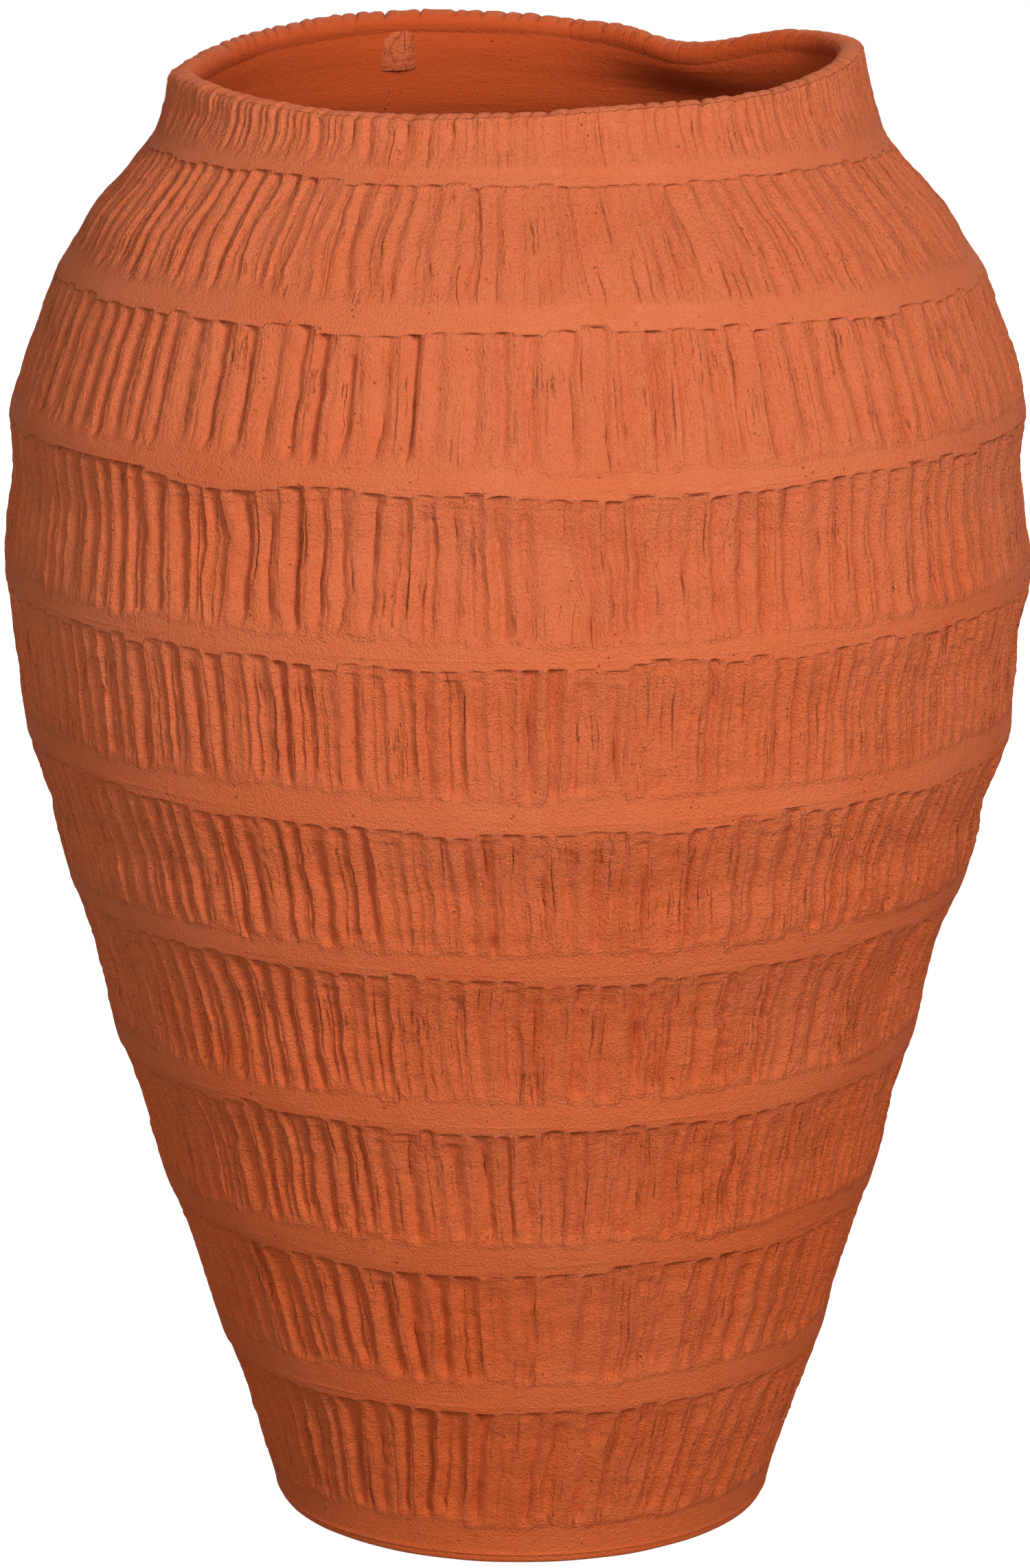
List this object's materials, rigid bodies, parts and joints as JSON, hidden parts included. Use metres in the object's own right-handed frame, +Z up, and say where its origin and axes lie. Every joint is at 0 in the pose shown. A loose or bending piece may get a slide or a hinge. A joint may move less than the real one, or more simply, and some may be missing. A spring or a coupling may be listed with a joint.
{
  "type": "greek pithos",
  "caption": "Tall open terracotta storage jar raised in hand-combed courses, with a swelling belly, a short neck and an uneven rolled lip; stands on a flat base and holds dry goods or plants.",
  "frame": {"origin": "middle of the flat underside", "axes": "+Z up along the jar's axis; -Y is the front, from which the rim's high side is at the back and its dent is at the back right"},
  "size_m": [0.3712, 0.3712, 0.5392],
  "materials": {
    "terracotta_combed": "matt, unglazed, combed",
    "terracotta_lip": "matt, unglazed, rolled and notched",
    "terracotta_floor": "matt, unglazed, wiped smooth"
  },
  "bodies": {
    "root": {"base_slab": "terracotta_floor", "base_corner_coil": "terracotta_floor", "foot_course": "terracotta_combed", "wall_course_2": "terracotta_combed", "wall_course_3": "terracotta_combed", "wall_course_4": "terracotta_combed", "wall_course_5": "terracotta_combed", "wall_course_6": "terracotta_combed", "wall_course_7": "terracotta_combed", "wall_course_8": "terracotta_combed", "shoulder_course": "terracotta_combed", "neck_course": "terracotta_combed", "lip_coil": "terracotta_lip", "lip_join_pad": "terracotta_lip"}
  },
  "joints": []
}
